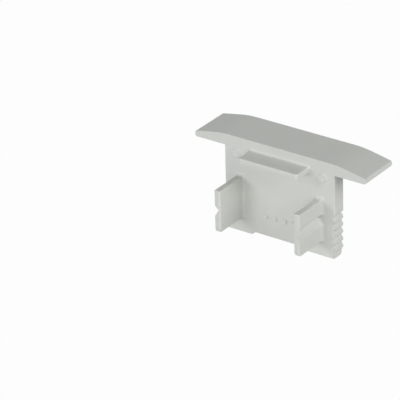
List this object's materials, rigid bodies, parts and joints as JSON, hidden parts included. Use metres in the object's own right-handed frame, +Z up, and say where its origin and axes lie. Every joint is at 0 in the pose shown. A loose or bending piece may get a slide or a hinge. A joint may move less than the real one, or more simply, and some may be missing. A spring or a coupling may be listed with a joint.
{
  "type": "profile end cap",
  "caption": "One-piece moulded end cap: crowned flange over a plate with toothed sides, two grooved snap prongs and a locating tab.",
  "frame": {"origin": "centre of the mating face, the flat inner face that butts against the profile's cut end", "axes": "+X along the flange, -Y out of the mating face along the prongs, +Z up to the crowned flange"},
  "size_m": [0.024, 0.0106, 0.0124],
  "materials": {
    "moulding": "satin moulded"
  },
  "bodies": {
    "root": {"end_cap": "moulding"}
  },
  "joints": []
}
